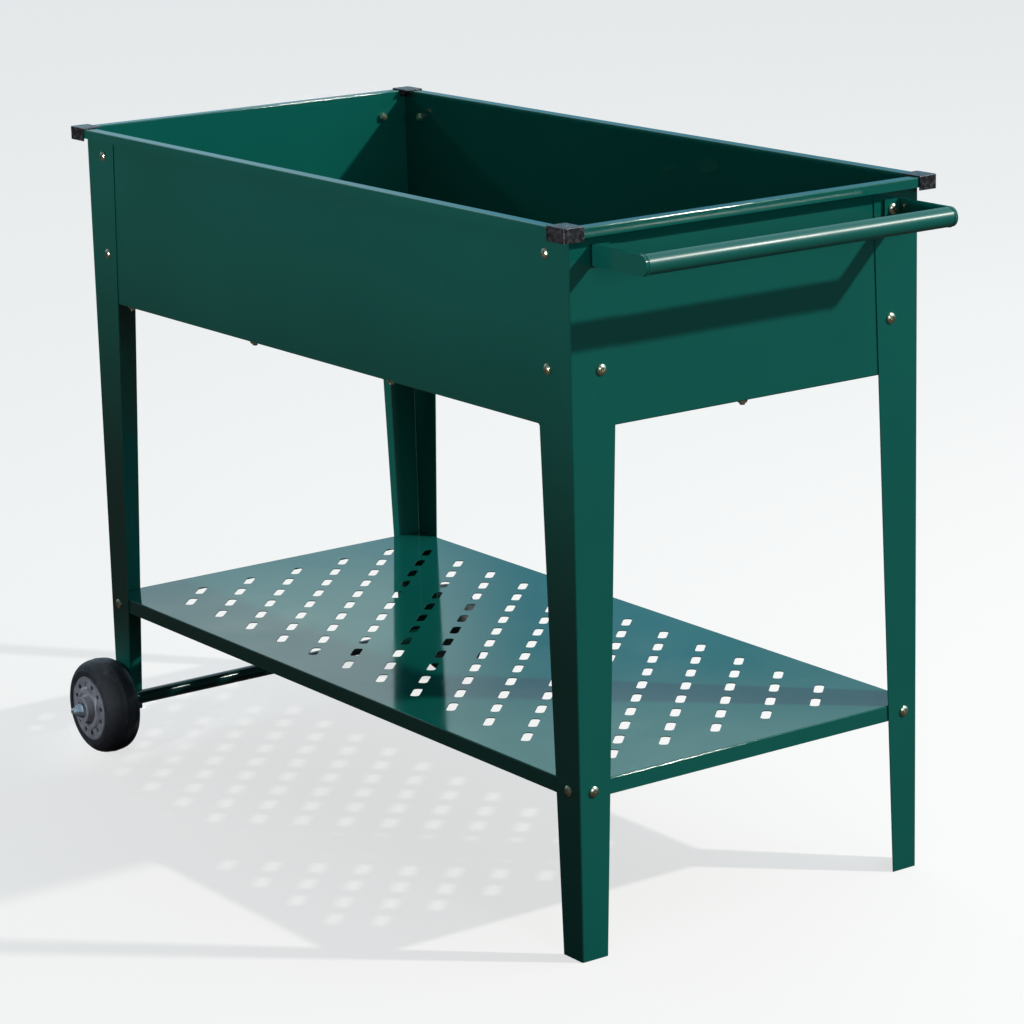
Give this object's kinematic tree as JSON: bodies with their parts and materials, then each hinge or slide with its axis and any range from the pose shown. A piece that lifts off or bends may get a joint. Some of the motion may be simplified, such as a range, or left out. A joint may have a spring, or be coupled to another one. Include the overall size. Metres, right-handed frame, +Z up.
{
  "type": "raised planter",
  "caption": "Raised steel planter box on tapered angle legs with a perforated shelf, a tube handle at one end and wheels at the other.",
  "frame": {"origin": "bottom centre of the whole object's box: on the ground, midway between the handle's outer edge and the tyres' outer edge, and midway between the long sides", "axes": "+X along the long side towards the handle, +Y across the planter towards the back long side, +Z up"},
  "size_m": [1.136, 0.632, 0.8016],
  "materials": {
    "green_powder_coat": "gloss dark green powder coat",
    "black_plastic": "satin moulded black plastic",
    "zinc_steel": "zinc plated",
    "tyre_rubber": "satin black rubber",
    "grey_plastic": "moulded grey plastic"
  },
  "bodies": {
    "planter": {"front_panel": "green_powder_coat", "back_panel": "green_powder_coat", "handle_end_panel": "green_powder_coat", "wheel_end_panel": "green_powder_coat", "floor_panel": "green_powder_coat", "front_handle_leg": "green_powder_coat", "back_handle_leg": "green_powder_coat", "front_wheel_leg": "green_powder_coat", "back_wheel_leg": "green_powder_coat", "shelf": "green_powder_coat", "front_handle_cap": "black_plastic", "back_handle_cap": "black_plastic", "front_wheel_cap": "black_plastic", "back_wheel_cap": "black_plastic", "front_handle_arm": "green_powder_coat", "back_handle_arm": "green_powder_coat", "handle_tube": "green_powder_coat", "axle_rod": "zinc_steel", "axle_tube": "green_powder_coat", "axle_inner_washers": "zinc_steel", "wheel_spacer_washers": "zinc_steel", "wheel_outer_washers": "zinc_steel", "axle_nuts": "zinc_steel", "panel_bolts": "zinc_steel", "panel_nuts": "zinc_steel", "handle_bolts": "zinc_steel", "handle_nuts": "zinc_steel", "shelf_bolts": "zinc_steel", "shelf_nuts": "zinc_steel", "floor_bolts": "zinc_steel", "floor_nuts": "zinc_steel"},
    "front_wheel": {"front_tyre": "tyre_rubber", "front_hub": "grey_plastic"},
    "back_wheel": {"back_tyre": "tyre_rubber", "back_hub": "grey_plastic"}
  },
  "joints": [
    {"name": "front_wheel_spin", "type": "hinge", "parent": "planter", "child": "front_wheel", "pos_m": [-0.507, -0.2685, 0.061], "axis": [0, 1, 0], "continuous": true},
    {"name": "back_wheel_spin", "type": "hinge", "parent": "planter", "child": "back_wheel", "pos_m": [-0.507, 0.2685, 0.061], "axis": [0, 1, 0], "continuous": true}
  ]
}
